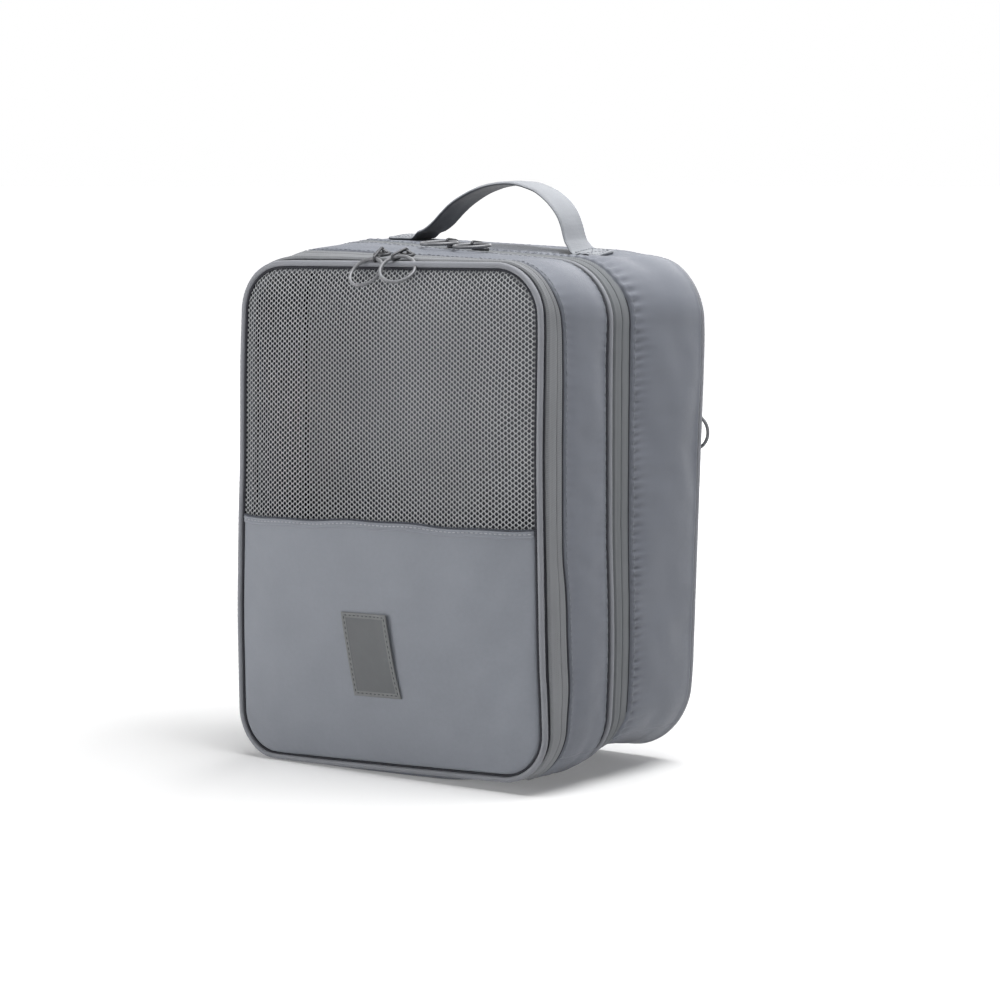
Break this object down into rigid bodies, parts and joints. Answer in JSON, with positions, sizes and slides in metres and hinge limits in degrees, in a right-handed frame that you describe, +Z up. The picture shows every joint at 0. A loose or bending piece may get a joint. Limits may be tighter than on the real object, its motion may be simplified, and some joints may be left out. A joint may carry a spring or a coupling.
{
  "type": "shoe bag",
  "caption": "Upright soft travel bag for shoes with front and rear zip compartments, a net window in the front lid, ring zip pulls and a webbing top handle.",
  "frame": {"origin": "middle of the base, on the surface that the bag stands on", "axes": "+Z up, X across the width, -Y towards the net window at the front"},
  "size_m": [0.222, 0.1566, 0.3376],
  "materials": {
    "slate_cloth": "slate-grey nylon twill with a faint sheen",
    "zip_tape": "woven zip tape, matt grey",
    "zip_coil": "nylon coil, grey",
    "piping": "cloth-covered piping cord, dark slate",
    "lining": "thin polyester lining, dark grey",
    "net": "open warp-knit net, light grey",
    "webbing": "flat woven webbing, slate grey",
    "patch": "thin leatherette patch, dark grey, sewn round the edge",
    "metal": "grey-painted zinc"
  },
  "bodies": {
    "rear_compartment": {"rear_gusset": "slate_cloth", "rear_base": "slate_cloth", "front_base": "slate_cloth", "middle_zip_rear_tape": "zip_tape", "middle_zip_rear_coil": "zip_coil", "back_piping": "piping", "back_seam_binding": "lining", "back_panel": "slate_cloth", "pocket_zip_upper_tape": "zip_tape", "pocket_zip_lower_tape": "zip_tape", "pocket_zip_coil": "zip_coil", "pocket_lining": "lining", "handle_left_tab": "webbing", "handle_right_tab": "webbing"},
    "carry_handle": {"handle_strap": "webbing"},
    "front_compartment": {"front_gusset": "slate_cloth", "middle_piping": "piping", "middle_seam_binding": "lining", "divider_panel": "lining", "middle_zip_front_tape": "zip_tape", "middle_zip_front_coil": "zip_coil", "front_zip_rear_tape": "zip_tape", "front_zip_rear_coil": "zip_coil"},
    "front_lid": {"front_piping": "piping", "lower_front_panel": "slate_cloth", "net_window": "net", "window_hem": "slate_cloth", "front_zip_lid_tape": "zip_tape", "front_zip_lid_coil": "zip_coil", "front_seam_binding": "lining", "label_patch": "patch"},
    "front_slider_left": {"front_slider_left": "metal"},
    "front_pull_left": {"front_pull_left_link": "metal", "front_pull_left_ring": "metal"},
    "front_slider_right": {"front_slider_right": "metal"},
    "front_pull_right": {"front_pull_right_link": "metal", "front_pull_right_ring": "metal"},
    "middle_slider_left": {"middle_slider_left": "metal"},
    "middle_pull_left": {"middle_pull_left_link": "metal", "middle_pull_left_ring": "metal"},
    "middle_slider_right": {"middle_slider_right": "metal"},
    "middle_pull_right": {"middle_pull_right_link": "metal", "middle_pull_right_ring": "metal"},
    "pocket_slider": {"pocket_slider": "metal"},
    "pocket_pull": {"pocket_pull_link": "metal", "pocket_pull_ring": "metal"}
  },
  "joints": [
    {"name": "front_compartment_lean", "type": "hinge", "parent": "rear_compartment", "child": "front_compartment", "pos_m": [0, -0.0653, 0.0025], "axis": [1, 0, 0], "range_deg": [0, 20]},
    {"name": "front_lid_open", "type": "hinge", "parent": "front_compartment", "child": "front_lid", "pos_m": [0, -0.0653, 0.0025], "axis": [1, 0, 0], "range_deg": [0, 55]},
    {"name": "handle_sway", "type": "hinge", "parent": "rear_compartment", "child": "carry_handle", "pos_m": [0, 0.034, 0.3014], "axis": [1, 0, 0], "range_deg": [-40, 40]},
    {"name": "front_slider_left_run", "type": "slide", "parent": "front_lid", "child": "front_slider_left", "axis": [1, 0, 0], "range_m": [-0.06, 0]},
    {"name": "front_pull_left_swing", "type": "hinge", "parent": "front_slider_left", "child": "front_pull_left", "pos_m": [-0.013, -0.06, 0.3029], "axis": [1, 0, 0], "range_deg": [-180, 0]},
    {"name": "front_slider_right_run", "type": "slide", "parent": "front_lid", "child": "front_slider_right", "axis": [1, 0, 0], "range_m": [0, 0.072]},
    {"name": "front_pull_right_swing", "type": "hinge", "parent": "front_slider_right", "child": "front_pull_right", "pos_m": [0.004, -0.06, 0.3029], "axis": [1, 0, 0], "range_deg": [-180, 0]},
    {"name": "middle_slider_left_run", "type": "slide", "parent": "front_compartment", "child": "middle_slider_left", "axis": [0.9986, 0, -0.0523], "range_m": [-0.06, 0]},
    {"name": "middle_pull_left_swing", "type": "hinge", "parent": "middle_slider_left", "child": "middle_pull_left", "pos_m": [-0.004, -0.006, 0.3049], "axis": [1, 0, 0], "range_deg": [-180, 0]},
    {"name": "middle_slider_right_run", "type": "slide", "parent": "front_compartment", "child": "middle_slider_right", "axis": [1, 0, 0], "range_m": [0, 0.06]},
    {"name": "middle_pull_right_swing", "type": "hinge", "parent": "middle_slider_right", "child": "middle_pull_right", "pos_m": [0.014, -0.006, 0.3049], "axis": [1, 0, 0], "range_deg": [-180, 0]},
    {"name": "pocket_slider_run", "type": "slide", "parent": "rear_compartment", "child": "pocket_slider", "axis": [1, 0, -0.008], "range_m": [-0.192, 0]},
    {"name": "pocket_pull_swing", "type": "hinge", "parent": "pocket_slider", "child": "pocket_pull", "pos_m": [0.096, 0.0707, 0.213], "axis": [1, 0, 0], "range_deg": [0, 150]}
  ]
}
